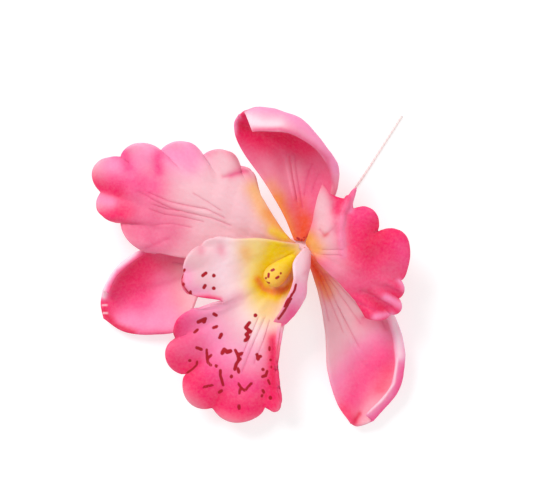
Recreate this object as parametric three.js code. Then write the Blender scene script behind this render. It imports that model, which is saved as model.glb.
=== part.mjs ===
// A sugar-paste cattleya orchid, lying face up on a table with its wire behind it.
// Each sepal, petal and lip is one rolled sheet of paste, glued by its narrow foot to a small cone of paste
// that holds the hooked end of a paper-covered wire. Units are millimetres and +Z is up.
// The ribs below are measured from the axis of that cone, with heights above the table.
import * as THREE from "three";

// Driving dimensions.
const PASTE = 1.2; // thickness of a rolled sheet in its middle
const RIM = 0.8; // and where it is thinned at its margin
const CONE_TOP = 12.1;
const CONE_FOOT = 5.0;
const CONE_R = 4.4;
const BORE_TOP = 9.9;
const WIRE_R = 0.45; // outside of the paper cover
const COVER_BORE_R = 0.31;
const CORE_R = 0.255; // 24 gauge steel
const WIRE_PLAY = 0.3; // between the wire and the bore that takes it
const NOTCH = 0.6; // a power of the scallops' arches: below 1 they meet in sharp notches, above 1 in soft
const SOFTENING = 1.5; // added to that power where a scallop fades into the sheet

// The cone's axis as seen from the middle of the flower's outline.
const CONE_AT = new THREE.Vector2(17.4, 7.9);

// ---- Sheets ------------------------------------------------------------------------------------------

const smooth = (t) => t * t * (3 - 2 * t);
const clamp01 = (t) => Math.min(Math.max(t, 0), 1);

// The point at t, from 0 at the first to 1 at the last, of the smooth curve through a list of vectors.
function onCurve(points, t) {
  const last = points.length - 1;
  const i = Math.min(Math.floor(t * last), last - 1);
  const s = t * last - i;
  const [p1, p2] = [points[i], points[i + 1]];
  const p0 = points[i - 1] ?? p1.clone().multiplyScalar(2).sub(p2);
  const p3 = points[i + 2] ?? p2.clone().multiplyScalar(2).sub(p1);
  const blend = (a, b, c, d) =>
    b + 0.5 * s * (c - a + s * (2 * a - 5 * b + 4 * c - d + s * (3 * (b - c) + d - a)));
  const along = (axis) => blend(p0[axis], p1[axis], p2[axis], p3[axis]);
  return new THREE.Vector3(along("x"), along("y"), along("z"));
}

// A sheet of paste. Its ribs run from its foot, u = 0, to its margin, u = 1, and v goes from the first rib,
// 0, to the last, 1, anticlockwise as seen from above. Each lobe is a rounded scallop of the margin between
// two rib numbers: [from, to, how far it stands out, how far it swells up, power at its start, at its end].
class Sheet {
  constructor({ ribs, lobes = [], lobeDepth = 0.3 }) {
    this.ribs = ribs.map((rib) => rib.map((p) => new THREE.Vector3(...p)));
    this.lobes = lobes;
    this.lobeDepth = lobeDepth;
  }

  plain(u, v) {
    return onCurve(this.ribs.map((rib) => onCurve(rib, u)), v);
  }

  point(u, v) {
    const p = this.plain(u, v);
    const rib = v * (this.ribs.length - 1);
    const lobe = this.lobes.find(([from, to]) => rib >= from && rib <= to);
    const pull = smooth(clamp01((u - 1 + this.lobeDepth) / this.lobeDepth));
    if (!lobe || pull === 0) return p;
    const [from, to, out, up, near = NOTCH, far = NOTCH] = lobe;
    const t = (rib - from) / (to - from);
    const arch = Math.max(Math.sin(Math.PI * t), 0);
    const power = THREE.MathUtils.lerp(near, far, t) + SOFTENING * (1 - pull);
    p.addScaledVector(this.outward(v), pull * out * arch ** power);
    p.z += pull * up * arch ** 2;
    return p;
  }

  // Square to the margin at v, in the sheet's own slope.
  outward(v) {
    const step = 0.02;
    const along = this.plain(1, Math.min(v + step, 1)).sub(this.plain(1, Math.max(v - step, 0)));
    const across = this.plain(1, v).sub(this.plain(0.9, v));
    return along.clone().cross(across.cross(along)).normalize();
  }

  normal(u, v) {
    const step = 0.02;
    const along = this.point(Math.min(u + step, 1), v).sub(this.point(Math.max(u - step, 0), v));
    const across = this.point(u, Math.min(v + step, 1)).sub(this.point(u, Math.max(v - step, 0)));
    return along.cross(across).normalize();
  }

  thickness(u, v) {
    return THREE.MathUtils.lerp(RIM, PASTE, smooth(clamp01(Math.min(4 * (1 - u), 8 * v, 8 * (1 - v)))));
  }

  // The closed solid: a top and an underside of nu by nv cells, and a wall round their edge.
  geometry(nu, nv) {
    const position = [];
    for (const side of [0.5, -0.5])
      for (let i = 0; i <= nu; i++)
        for (let j = 0; j <= nv; j++) {
          const [u, v] = [i / nu, j / nv];
          const p = this.point(u, v).addScaledVector(this.normal(u, v), side * this.thickness(u, v));
          position.push(p.x, p.y, p.z);
        }
    const under = (nu + 1) * (nv + 1);
    const at = (i, j) => i * (nv + 1) + j;
    const index = [];
    const quad = (a, b, c, d) => index.push(a, b, c, a, c, d);
    for (let i = 0; i < nu; i++)
      for (let j = 0; j < nv; j++) {
        const [a, b, c, d] = [at(i, j), at(i + 1, j), at(i + 1, j + 1), at(i, j + 1)];
        quad(a, b, c, d);
        quad(d + under, c + under, b + under, a + under);
      }
    const wall = (a, b) => quad(b, a, a + under, b + under);
    for (let i = 0; i < nu; i++) {
      wall(at(i, 0), at(i + 1, 0));
      wall(at(i + 1, nv), at(i, nv));
    }
    for (let j = 0; j < nv; j++) {
      wall(at(0, j + 1), at(0, j));
      wall(at(nu, j), at(nu, j + 1));
    }
    const geometry = new THREE.BufferGeometry();
    geometry.setAttribute("position", new THREE.Float32BufferAttribute(position, 3));
    geometry.setIndex(index);
    geometry.computeVertexNormals();
    return geometry;
  }
}

// The left petal, from its upper edge round to its lower edge.
const leftPetal = new Sheet({
  ribs: [
    [[-3, 1.5, 14.5], [-7, 6, 15.5], [-10.5, 11.5, 16], [-13.5, 16.5, 16], [-15.5, 21.5, 16]],
    [[-3, 1, 14.5], [-8.5, 6.5, 16], [-13, 13, 16.5], [-17.5, 19.5, 16.5], [-21.5, 26.5, 15.5]],
    [[-2.5, 0.7, 14.5], [-10.5, 6.5, 16.5], [-18.5, 14, 17], [-26, 21.5, 16.5], [-33.5, 29.5, 15]],
    [[-2.5, 0.4, 14.5], [-13.5, 6.5, 16.5], [-24.5, 13.5, 17], [-35.5, 22, 16], [-47.5, 31, 13.5]],
    [[-2.5, 0, 14.5], [-16, 5.5, 16], [-30.5, 12.5, 16], [-45.5, 20.5, 14.5], [-60.5, 29, 12]],
    [[-2.4, -0.3, 14.5], [-17.5, 3.5, 15], [-34, 8.5, 14.5], [-51, 13, 13], [-67.5, 18, 11.5]],
    [[-2.2, -0.6, 14.5], [-16.5, 1, 15], [-31.5, 3, 14.5], [-46, 5.5, 13], [-60.5, 8.5, 11.5]],
    [[-2, -1, 14.5], [-14.5, -2.5, 15], [-27.5, -4.5, 14.5], [-39.5, -4, 13.5], [-51.5, -1.5, 12.5]],
  ],
  lobes: [
    [0, 1, 1.5, 2], [1, 2, 4, 2.8], [2, 3, 4.4, 3], [3, 4, 3.6, 3], [4, 5, 5, 3, 0.6, 1.4],
    [5, 6, 3.6, 3, 1.4, 0.6], [6, 7, 2.6, 2],
  ],
});

// The right petal curls up and over, from its lower edge round to its upper left edge.
const rightPetal = new Sheet({
  ribs: [
    [[3, -2, 14.5], [6.5, -6.5, 15.5], [11.5, -11.5, 16.5], [16.5, -17, 17], [21, -23.5, 17]],
    [[3, -1.8, 14.5], [7.5, -5.5, 17], [14, -10.5, 19], [22, -16.5, 19], [29.5, -22.5, 16.5]],
    [[3, -1.5, 14.5], [8.5, -4, 17.5], [15, -7.5, 20.5], [24, -12.5, 20], [32, -17.5, 16.5]],
    [[2.7, -1.2, 14.5], [8.5, -2.5, 18], [15.5, -5.5, 21.5], [24.5, -8.5, 20.5], [33, -11.5, 17]],
    [[2.6, -0.9, 14.5], [8.5, -1, 18.5], [15, -2, 22], [23, -1, 21], [32, 1, 18]],
    [[2.5, -0.5, 14.5], [8, 0.5, 19], [13.5, 2, 22.5], [19.5, 3.5, 21], [25, 4.5, 19]],
    [[2, 0, 14.5], [6.5, 3.5, 19], [11, 7, 22.5], [14.5, 10, 21.5], [17, 12.5, 20]],
    [[1.8, 0.3, 14.5], [6, 4.2, 18.8], [10, 8, 22], [13.8, 12.5, 21.5], [18, 19.3, 20.5]],
    [[1.7, 0.5, 14.5], [5.5, 5, 18.5], [9, 9, 21.5], [12, 13, 21.5], [14.8, 15.8, 20.5]],
    [[1.5, 1, 14.5], [4.5, 6.5, 18], [7, 11, 20.5], [9, 14.5, 21.5], [9.6, 17.2, 21.5]],
    [[1.3, 1.5, 14.5], [3, 6.5, 17], [4, 11.5, 19], [5, 16, 20.5], [6.5, 20.5, 22]],
  ],
  lobes: [
    [0, 1, 1.5, 3], [1, 2, 2, 3], [2, 3, 1.3, 2.5], [3, 5, 3.5, 2.5], [5, 6, 5.2, 2.5],
  ],
});

// The lip, from the upper edge of its left side lobe, round its wide frilled middle lobe, to the wall on its
// right side and the margin of that side lobe, which rolls back over the column.
const lip = new Sheet({
  ribs: [
    [[-1, 0.7, 16], [-7, 1.5, 18.5], [-13.5, 2.5, 20], [-19.5, 2.5, 20.5], [-25, 2.5, 20]],
    [[-1, 0.4, 16], [-8.5, -0.5, 17.5], [-16.5, -1.5, 18.5], [-25, -1, 19.5], [-33.5, 0, 20]],
    [[-1, 0, 16], [-10, -3.5, 16.5], [-19.5, -5.5, 17.5], [-29.5, -7, 19], [-39, -9, 19.5]],
    [[-1, -0.3, 16], [-10.5, -6, 16], [-19, -9.5, 16.5], [-28, -13.5, 17.5], [-37, -16, 18.5]],
    [[-0.9, -0.7, 16], [-10.5, -8.5, 15], [-15.5, -12.5, 15.5], [-21, -15.5, 16], [-26.5, -18.5, 16.5]],
    [[-0.7, -1, 16], [-10, -10.5, 15], [-15.5, -15.5, 14.5], [-25, -20, 14.5], [-36, -21.5, 15.5]],
    [[-0.5, -1.3, 16], [-9.5, -12, 14.5], [-15.5, -19, 14], [-29, -25, 13], [-42, -31, 12.5]],
    [[-0.3, -1.5, 16], [-8.5, -13.5, 14.5], [-15, -22.5, 14], [-26.5, -32.5, 12], [-39, -43, 10]],
    [[0, -1.7, 16], [-7.5, -14.5, 15], [-13, -25, 13.5], [-20.5, -39, 12], [-30, -54.5, 8.5]],
    [[0.3, -1.8, 16], [-6, -15, 15], [-9.5, -25.5, 14], [-11, -39, 12.5], [-12.5, -54, 9]],
    [[0.4, -1.9, 16], [-5, -14.7, 15.5], [-8.5, -25, 14.5], [-9.5, -38, 13], [-9.3, -52.5, 10]],
    [[0.6, -2, 16], [-4, -14, 16], [-7, -23, 15.5], [-8.5, -32, 14.5], [-8.5, -41.5, 13.5]],
    [[1.3, -2, 16], [-1.5, -8.5, 17], [-2.5, -15.5, 17.5], [-4.5, -22, 17.5], [-7, -28, 16.5]],
    [[2.3, -2, 17.5], [2, -6.5, 21], [1, -12.5, 23], [0, -18, 23], [-6, -26, 19.5]],
    [[0.5, -0.5, 19], [-3, -5.5, 25.5], [-3, -11.5, 27], [-6, -19, 26.5], [-9.5, -25, 21.5]],
  ],
  lobes: [
    [0, 1, 1, 1], [1, 2, 1.5, 1.5], [2, 3, 1, 1], [5, 6, 2.3, 1.5], [6, 7, 4.2, 2], [7, 8, 3.8, 2, 0.6, 1.1],
    [8, 9, 4.4, 2, 1.1, 0.6], [9, 11, 2.5, 2],
  ],
});

// The upper sepal is a deep hood. These courses go up it, each from its right crest to its left edge.
const dorsalSepal = new Sheet({
  ribs: [
    [[0.7, 1.4, 13], [5, 8.5, 13.5], [9.5, 17, 16.5], [9, 25, 21.5], [4, 32, 26.5], [-3.5, 36.5, 29],
      [-10.5, 37.5, 29], [-16.5, 37.5, 27.5]],
    [[0, 1.6, 13], [5.5, 8.5, 13], [10, 17.5, 15.5], [11.2, 25, 19.5], [7, 32.5, 24], [-1.2, 41.5, 26.5],
      [-12.5, 45, 26.5], [-19, 43.7, 25]],
    [[-1.4, 1.8, 13], [-0.5, 9, 12], [-0.5, 17, 10.5], [-1, 24.5, 9.5], [-4, 31, 10], [-10.5, 37, 12.5],
      [-17.5, 40.5, 16], [-20.5, 43.5, 22.5]],
    [[-2.6, 2, 13], [-5.5, 9, 13.5], [-9.5, 16.5, 14], [-14, 23.5, 14.5], [-18.8, 30, 15.5], [-22, 36, 17.5],
      [-22.5, 40.5, 20], [-21, 43, 22]],
  ],
});

// The left lower sepal, a trough from its rolled upper rim to its lower edge.
const leftSepal = new Sheet({
  ribs: [
    [[-2, 0, 13], [-17.5, -1, 11], [-32.5, 0, 10], [-44.5, -0.5, 9], [-53.5, -3.5, 8],
      [-61.5, -9.5, 8], [-65, -16, 7]],
    [[-2.1, -0.4, 13], [-17.5, -0.5, 11], [-32.5, 1.5, 9], [-45, 0.5, 8], [-54.5, -2.8, 7],
      [-62.5, -8.3, 7], [-66.7, -15.5, 6]],
    [[-2.3, -1.2, 13], [-17.5, -4.5, 9], [-31.5, -7.5, 5.5], [-43, -12.5, 2.4], [-53, -16, 0.7],
      [-61.5, -18.5, 1.5],
      [-68, -19.5, 4]],
    [[-2.5, -2, 13], [-18, -8, 10], [-33.5, -15, 7], [-39.5, -27.5, 5.5], [-50, -30, 4],
      [-60, -29, 4], [-67, -24.5, 4.5]],
  ],
});

// The right lower sepal, a trough from its left edge to its rolled right rim.
const rightSepal = new Sheet({
  ribs: [
    [[1, -3.6, 13], [3.5, -9, 11], [6, -18, 8.5], [8, -30, 6], [8.7, -42, 5], [12, -53, 4],
      [16.5, -60, 4.5]],
    [[1.7, -3.2, 13], [6.5, -9.5, 9], [12, -18.5, 5.5], [16.5, -29.5, 2.8], [20.5, -41, 0.7],
      [22.5, -51.5, 1.3],
      [19, -61, 4]],
    [[2.6, -2.7, 13], [10.5, -9.5, 10.5], [19, -18, 8.5], [29.3, -23, 7.5], [33.6, -35, 7],
      [32.2, -48.3, 6], [23.5, -59.3, 5]],
    [[3, -2.5, 13], [11, -9.5, 11], [18.5, -18, 9.5], [28, -24, 9], [31.2, -35.5, 8.5], [29.8, -47.3, 8],
      [21.5, -57, 6.5]],
  ],
});

// ---- Round pieces --------------------------------------------------------------------------------------

// The cone of paste behind the flower, with the blind bore that takes the wire.
function coneGeometry() {
  const boreR = WIRE_R + WIRE_PLAY;
  const profile = [
    [0, BORE_TOP], [boreR, BORE_TOP], [boreR, CONE_FOOT], [boreR + 0.8, CONE_FOOT],
    [0.6 * CONE_R, CONE_FOOT + 1.2],
    [0.9 * CONE_R, CONE_TOP - 3], [CONE_R, CONE_TOP - 1.3], [0.9 * CONE_R, CONE_TOP - 0.3], [0, CONE_TOP],
  ];
  const lathe = new THREE.LatheGeometry(profile.map(([r, z]) => new THREE.Vector2(r, z)), 24);
  return lathe.rotateX(Math.PI / 2);
}

// The column, a rounded club of paste lying in the throat of the lip.
const COLUMN = {
  foot: new THREE.Vector3(-2.2, -3.2, 18.9),
  tip: new THREE.Vector3(-11.5, -12.2, 19.8),
  footR: 2.1,
  tipR: 4.4,
  flatness: 0.72, // its height over its width
};

function columnGeometry() {
  const { foot, tip, footR, tipR, flatness } = COLUMN;
  const axis = tip.clone().sub(foot);
  const straight = axis.length() - 0.8 * tipR;
  const steps = 6;
  const profile = [[0, 0], [0.75 * footR, 0.3], [footR, 1.2]];
  for (let k = 1; k < steps; k++) {
    const radius = THREE.MathUtils.lerp(footR, tipR, smooth(k / steps));
    profile.push([radius, 1.2 + ((straight - 1.2) * k) / steps]);
  }
  for (let k = 0; k < steps; k++) {
    const turn = ((Math.PI / 2) * k) / steps;
    profile.push([tipR * Math.cos(turn), straight + 0.8 * tipR * Math.sin(turn)]);
  }
  profile.push([0, straight + 0.8 * tipR]);
  const lathe = new THREE.LatheGeometry(profile.map(([r, y]) => new THREE.Vector2(r, y)), 20);
  lathe.scale(1, 1, flatness);
  const y = axis.normalize();
  const x = new THREE.Vector3(0, 0, 1).cross(y).negate().normalize();
  const placed = new THREE.Matrix4().makeBasis(x, y, x.clone().cross(y)).setPosition(foot);
  return lathe.applyMatrix4(placed);
}

// The wire comes out of the cone, turns along the table and runs out past the upper right of the flower.
const wirePath = new THREE.CatmullRomCurve3(
  [
    [0, 0, 9.5], [0, 0, 6.5], [0.4, 0.3, 4.2], [2.5, 1.8, 1.9], [6, 5, 0.8], [10.5, 9.5, 0.5],
    [18.9, 20.5, 0.46],
    [26.7, 32.5, 0.46], [34.2, 44.2, 0.46],
  ].map((p) => new THREE.Vector3(...p)),
  false, "centripetal",
);

function wireGeometry(outerR, boreR = 0) {
  const section = new THREE.Shape().absarc(0, 0, outerR, 0, 2 * Math.PI);
  if (boreR) section.holes.push(new THREE.Path().absarc(0, 0, boreR, 0, 2 * Math.PI, true));
  return new THREE.ExtrudeGeometry(section, { steps: 32, curveSegments: 4, extrudePath: wirePath });
}

// ---- The flower ----------------------------------------------------------------------------------------

const PASTE_LOOK = { roughness: 0.55, metalness: 0 };
const flower = new THREE.Group();
flower.position.set(CONE_AT.x, CONE_AT.y, 0);

function add(name, geometry, color, look = PASTE_LOOK) {
  const mesh = new THREE.Mesh(geometry, new THREE.MeshStandardMaterial({ color, ...look }));
  mesh.name = name;
  flower.add(mesh);
}

add("centre_paste", coneGeometry(), 0xf1c84a);
add("dorsal_sepal", dorsalSepal.geometry(16, 10), 0xf0628f);
add("left_lateral_sepal", leftSepal.geometry(14, 10), 0xee5f90);
add("right_lateral_sepal", rightSepal.geometry(14, 10), 0xee6f9a);
add("left_petal", leftPetal.geometry(12, 28), 0xf3a9b4);
add("right_petal", rightPetal.geometry(12, 40), 0xf0719b);
add("lip", lip.geometry(12, 56), 0xf6b0a8);
add("column", columnGeometry(), 0xf4cf52);
add("wire_cover", wireGeometry(WIRE_R, COVER_BORE_R), 0xf6ebe6, { roughness: 0.9, metalness: 0 });
add("wire_core", wireGeometry(CORE_R), 0xa9a9ad, { roughness: 0.35, metalness: 1 });

export default flower;
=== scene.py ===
"""A sugar-paste cattleya orchid, lying face up on a pale table with its covered wire behind it.

Lengths are written in millimetres from the axis of the flower's centre paste, with heights above the table.
"""

import logging
import math
from dataclasses import dataclass, field
from enum import Enum
from typing import Any, Optional, Sequence

import bmesh
import bpy
import numpy as np
from mathutils import Matrix, Vector


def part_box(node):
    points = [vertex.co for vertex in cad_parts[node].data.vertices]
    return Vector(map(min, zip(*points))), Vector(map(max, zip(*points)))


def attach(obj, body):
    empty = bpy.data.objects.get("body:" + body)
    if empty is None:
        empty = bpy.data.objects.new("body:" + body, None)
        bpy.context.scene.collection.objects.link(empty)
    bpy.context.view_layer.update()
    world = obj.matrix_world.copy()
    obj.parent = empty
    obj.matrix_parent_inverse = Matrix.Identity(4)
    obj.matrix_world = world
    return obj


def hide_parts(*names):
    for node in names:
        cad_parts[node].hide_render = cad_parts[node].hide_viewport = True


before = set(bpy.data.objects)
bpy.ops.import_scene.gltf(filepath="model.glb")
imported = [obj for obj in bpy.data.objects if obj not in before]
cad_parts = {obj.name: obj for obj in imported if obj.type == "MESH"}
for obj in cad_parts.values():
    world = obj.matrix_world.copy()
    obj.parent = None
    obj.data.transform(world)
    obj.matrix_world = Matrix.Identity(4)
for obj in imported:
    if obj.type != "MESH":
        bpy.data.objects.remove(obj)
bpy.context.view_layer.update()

LOG = logging.getLogger("orchid")
MM = 0.001
BODY = "root"
HUB_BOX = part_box("centre_paste")
HUB = (np.array(HUB_BOX[0]) + np.array(HUB_BOX[1]))[:2] / 2  # the flower's axis, in metres

Point2 = tuple[float, float]
Point3 = tuple[float, float, float]


# ---- Colour and nodes ---------------------------------------------------------------------------------


class Paint(Enum):
    """Dusts and airbrush colours of the flower, some also laid on as painted shade, shadows and highlights,
    as sRGB hex.
    """

    WHITE = "FFDEE8"
    PALE = "EEBCC5"
    BLUSH = "F0A0B4"
    CANDY = "F994C0"
    ROSE = "E86890"
    PINK = "F6528F"
    VEIN = "DE4C7C"
    HOT = "F22C68"
    DEEP = "E02A55"
    WINE = "AC0820"
    YELLOW = "F2D01A"
    LEMON = "F7DC84"
    BUTTER = "F6C850"
    AMBER = "F2B060"
    ORANGE = "EC8A2E"
    FLAME = "E6542C"
    PAPER = "F6EAE6"
    STEEL = "A9A9AD"
    TABLE = "C8C8C8"


def linear(paint: Paint) -> tuple[float, float, float, float]:
    """Turn a paint's sRGB hex into linear light.

    Args:
        paint: The paint.

    Returns:
        Red, green, blue and an alpha of 1.
    """
    parts = [int(paint.value[k:k + 2], 16) / 255 for k in (0, 2, 4)]
    light = [c / 12.92 if c <= 0.04045 else ((c + 0.055) / 1.055) ** 2.4 for c in parts]
    return light[0], light[1], light[2], 1.0


def add_node(tree: bpy.types.NodeTree, kind: str, settings: Optional[dict[str, Any]] = None,
             **inputs: Any) -> bpy.types.Node:
    """Add a node with its settings and its inputs.

    Args:
        tree: The node tree it goes in.
        kind: The node's type name.
        settings: Properties of the node.
        **inputs: Socket name, with _ for a space, or its number after an n, to a value or an output socket.

    Returns:
        The node.
    """
    node = tree.nodes.new(kind)
    for key, value in (settings or {}).items():
        setattr(node, key, value)
    for key, value in inputs.items():
        name = int(key[1:]) if key[0] == "n" and key[1:].isdigit() else key.replace("_", " ")
        socket = node.inputs[name]
        if isinstance(value, bpy.types.NodeSocket):
            tree.links.new(value, socket)
        else:
            socket.default_value = value
    return node


def new_material(name: str) -> tuple[bpy.types.Material, bpy.types.NodeTree, bpy.types.NodeSocket]:
    """Start an empty node material.

    Args:
        name: The material's name.

    Returns:
        The material, its tree and the surface socket of its output.
    """
    material = bpy.data.materials.new(name)
    material.use_nodes = True
    tree = material.node_tree
    tree.nodes.clear()
    output = add_node(tree, "ShaderNodeOutputMaterial")
    return material, tree, output.inputs["Surface"]


@dataclass(frozen=True)
class SugarPaste:
    """Rolled gum paste, dried hard and airbrushed: a satin skin with a faint powdery mottle.

    The airbrushed colour, with the painted shade, shadows and highlights laid in with it, comes from the
    piece's own "dust" attribute and the brushed dark red marks from the distance, in millimetres, that its
    "mark" attribute holds.
    """

    name: str
    mark: str = "mark"
    roughness: float = 0.5
    glow: float = 0.2  # how much light passes through the paste
    glow_mm: float = 2.0  # how far it gets
    sheen: float = 0.3
    mark_edge: tuple[float, float] = (0.08, 0.4)  # where a mark starts to fade and where it has gone
    mark_raggedness: float = 0.3
    mottle: float = 0.03  # how far the dust's strength wanders
    grain_mm: float = 0.5  # size of the powder's clumps, drawn coarser than real so that they show

    def build(self) -> bpy.types.Material:
        """Build the material."""
        material, tree, surface = new_material(self.name)
        dust_and_painted_light = add_node(tree, "ShaderNodeAttribute", {"attribute_name": "dust_and_painted_light"}).outputs["Color"]
        where = add_node(tree, "ShaderNodeTexCoord").outputs["Object"]
        grain = add_node(tree, "ShaderNodeTexNoise", {"noise_dimensions": "3D"}, Vector=where,
                         Scale=1 / (self.grain_mm * MM * 2), Detail=2.0, Roughness=0.6)
        wander = add_node(tree, "ShaderNodeMapRange", None, Value=grain.outputs["Fac"],
                          From_Min=0.3, From_Max=0.7, To_Min=1 - self.mottle, To_Max=1 + self.mottle)
        colour = add_node(tree, "ShaderNodeHueSaturation", None, Color=dust_and_painted_light,
                          Saturation=wander.outputs["Result"]).outputs["Color"]
        mark = add_node(tree, "ShaderNodeAttribute", {"attribute_name": self.mark}).outputs["Fac"]
        rough = add_node(tree, "ShaderNodeMath", {"operation": "MULTIPLY_ADD"}, n0=grain.outputs["Fac"],
                         n1=self.mark_raggedness, n2=mark).outputs[0]
        inside = add_node(tree, "ShaderNodeMapRange", {"interpolation_type": "SMOOTHSTEP"}, Value=rough,
                          From_Min=self.mark_edge[0], From_Max=self.mark_edge[1], To_Min=1.0,
                          To_Max=0.0).outputs["Result"]
        colour = add_node(tree, "ShaderNodeMix", {"data_type": "RGBA"}, Factor=inside, n6=colour,
                          n7=linear(Paint.WINE)).outputs[2]
        bump = add_node(tree, "ShaderNodeBump", None, Height=grain.outputs["Fac"], Strength=0.12,
                        Distance=0.05 * MM).outputs["Normal"]
        shader = add_node(tree, "ShaderNodeBsdfPrincipled", None, Base_Color=colour,
                          Roughness=self.roughness, IOR=1.45, Specular_IOR_Level=self.sheen, Normal=bump,
                          Subsurface_Weight=self.glow, Subsurface_Radius=(1.0, 0.5, 0.5),
                          Subsurface_Scale=self.glow_mm * MM)
        tree.links.new(shader.outputs["BSDF"], surface)
        return material


@dataclass(frozen=True)
class WoundPaper:
    """Crepe florist paper wound in a spiral round the wire: white, dull and finely ridged."""

    name: str = "wound florist paper"
    seam: float = 0.2  # the part of a turn that the dipping seam takes

    def build(self) -> bpy.types.Material:
        """Build the material."""
        material, tree, surface = new_material(self.name)
        turn = add_node(tree, "ShaderNodeUVMap", {"uv_map": "winding"}).outputs["UV"]
        parts = add_node(tree, "ShaderNodeSeparateXYZ", None, Vector=turn)
        spiral = add_node(tree, "ShaderNodeMath", {"operation": "ADD"}, n0=parts.outputs["X"],
                          n1=parts.outputs["Y"]).outputs[0]
        step = add_node(tree, "ShaderNodeMath", {"operation": "FRACT"}, n0=spiral).outputs[0]
        ramp = add_node(tree, "ShaderNodeMapRange", None, Value=step, From_Min=0.0, From_Max=self.seam,
                        To_Min=0.0, To_Max=1.0).outputs["Result"]
        mix = add_node(tree, "ShaderNodeMix", {"data_type": "RGBA"}, Factor=ramp)
        mix.inputs[6].default_value = linear(Paint.PALE)
        mix.inputs[7].default_value = linear(Paint.PAPER)
        bump = add_node(tree, "ShaderNodeBump", None, Height=ramp, Strength=0.5, Distance=0.05 * MM)
        shader = add_node(tree, "ShaderNodeBsdfPrincipled", None, Base_Color=mix.outputs[2], Roughness=0.9,
                          IOR=1.5, Normal=bump.outputs["Normal"])
        tree.links.new(shader.outputs["BSDF"], surface)
        return material


@dataclass(frozen=True)
class PlainFinish:
    """A surface of one colour, such as drawn steel wire or the table's matt card."""

    name: str
    paint: Paint
    roughness: float
    metallic: float = 0.0
    lit: float = 0.0  # light of its own, as from a light box under the card

    def build(self) -> bpy.types.Material:
        """Build the material."""
        material, tree, surface = new_material(self.name)
        shader = add_node(tree, "ShaderNodeBsdfPrincipled", None, Base_Color=linear(self.paint),
                          Roughness=self.roughness, Metallic=self.metallic,
                          Emission_Color=linear(self.paint), Emission_Strength=self.lit)
        tree.links.new(shader.outputs["BSDF"], surface)
        return material


# ---- Curves and surfaces ------------------------------------------------------------------------------


def spread(t: np.ndarray, spans: int) -> tuple[np.ndarray, np.ndarray]:
    """Find the span and the four weights of a smooth curve through evenly numbered points.

    Args:
        t: Positions from 0 to 1.
        spans: How many spans the curve has.

    Returns:
        The span of each position, and its weights on the points before, at, after and beyond it.
    """
    at = np.clip(t, 0, 1) * spans
    i = np.minimum(at.astype(int), spans - 1)
    s = at - i
    weights = 0.5 * np.stack([-s + 2 * s**2 - s**3, 2 - 5 * s**2 + 3 * s**3, s + 4 * s**2 - 3 * s**3,
                              -s**2 + s**3])
    return i, weights


def with_ends(points: np.ndarray) -> np.ndarray:
    """Add one point before the first and one after the last, straight on."""
    return np.concatenate([2 * points[:1] - points[1:2], points, 2 * points[-1:] - points[-2:-1]])


def curve(points: Sequence[Sequence[float]], t: np.ndarray) -> np.ndarray:
    """Follow the smooth curve through a list of points.

    Args:
        points: The points.
        t: Positions from 0 at the first to 1 at the last.

    Returns:
        One row for each position.
    """
    ends = with_ends(np.array(points, float))
    i, weights = spread(t, len(points) - 1)
    return sum(weights[k][:, None] * ends[i + k] for k in range(4))


def smooth(t: np.ndarray) -> np.ndarray:
    """Ease from 0 to 1 as t goes from 0 to 1."""
    t = np.clip(t, 0, 1)
    return t * t * (3 - 2 * t)


WAVES = 9  # how many waves a ripple is made of


def ripple(x: np.ndarray, y: np.ndarray, seed: int, size_mm: float) -> np.ndarray:
    """A soft, uneven swell with a mean of 0 and a height of about 1.

    Args:
        x: First coordinate in millimetres.
        y: Second coordinate in millimetres.
        seed: Which pattern.
        size_mm: Length of its shortest swells.

    Returns:
        The height at each place.
    """
    random = np.random.default_rng(seed)
    total = np.zeros_like(x)
    for _ in range(WAVES):
        heading = random.uniform(0, 2 * math.pi)
        wave = random.uniform(1, 2.4) * size_mm
        along = x * math.cos(heading) + y * math.sin(heading)
        total += np.sin(2 * math.pi * along / wave + random.uniform(0, 2 * math.pi))
    return total / math.sqrt(WAVES)


def distance(x: np.ndarray, y: np.ndarray, path: Sequence[Point2]) -> np.ndarray:
    """Distance in plan from each place to a path, or to a dot if the path has one point.

    Args:
        x: First coordinate in millimetres.
        y: Second coordinate in millimetres.
        path: The path's points.

    Returns:
        The distances.
    """
    best = np.hypot(x - path[0][0], y - path[0][1])
    for (ax, ay), (bx, by) in zip(path, path[1:]):
        length2 = max((bx - ax) ** 2 + (by - ay) ** 2, 1e-9)
        s = np.clip(((x - ax) * (bx - ax) + (y - ay) * (by - ay)) / length2, 0, 1)
        best = np.minimum(best, np.hypot(x - ax - s * (bx - ax), y - ay - s * (by - ay)))
    return best


# ---- Making pieces ------------------------------------------------------------------------------------


def as_object(name: str, bm: bmesh.types.BMesh, *finishes: bpy.types.Material) -> bpy.types.Object:
    """Turn a finished bmesh into an object of the scene.

    Args:
        name: The name of the object and its mesh.
        bm: The bmesh, which is freed.
        *finishes: Its materials.

    Returns:
        The object.
    """
    mesh = bpy.data.meshes.new(name)
    bm.to_mesh(mesh)
    bm.free()
    for finish in finishes:
        mesh.materials.append(finish)
    piece = bpy.data.objects.new(name, mesh)
    bpy.context.scene.collection.objects.link(piece)
    return piece


def to_flower(bm: bmesh.types.BMesh) -> None:
    """Take a bmesh from millimetres about the flower's axis to its place in metres."""
    bmesh.ops.scale(bm, vec=(MM, MM, MM), verts=bm.verts)
    bmesh.ops.translate(bm, vec=(HUB[0], HUB[1], 0), verts=bm.verts)


def write_points(piece: bpy.types.Object, name: str, values: np.ndarray) -> None:
    """Store an attribute of a piece's points.

    Args:
        piece: The piece.
        name: The attribute's name.
        values: For each point one number, or a colour's four parts.
    """
    kind, key = ("FLOAT_COLOR", "color") if values.ndim == 2 else ("FLOAT", "value")
    attribute = piece.data.attributes.new(name, kind, "POINT")
    attribute.data.foreach_set(key, values.astype(np.float32).ravel())


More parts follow.
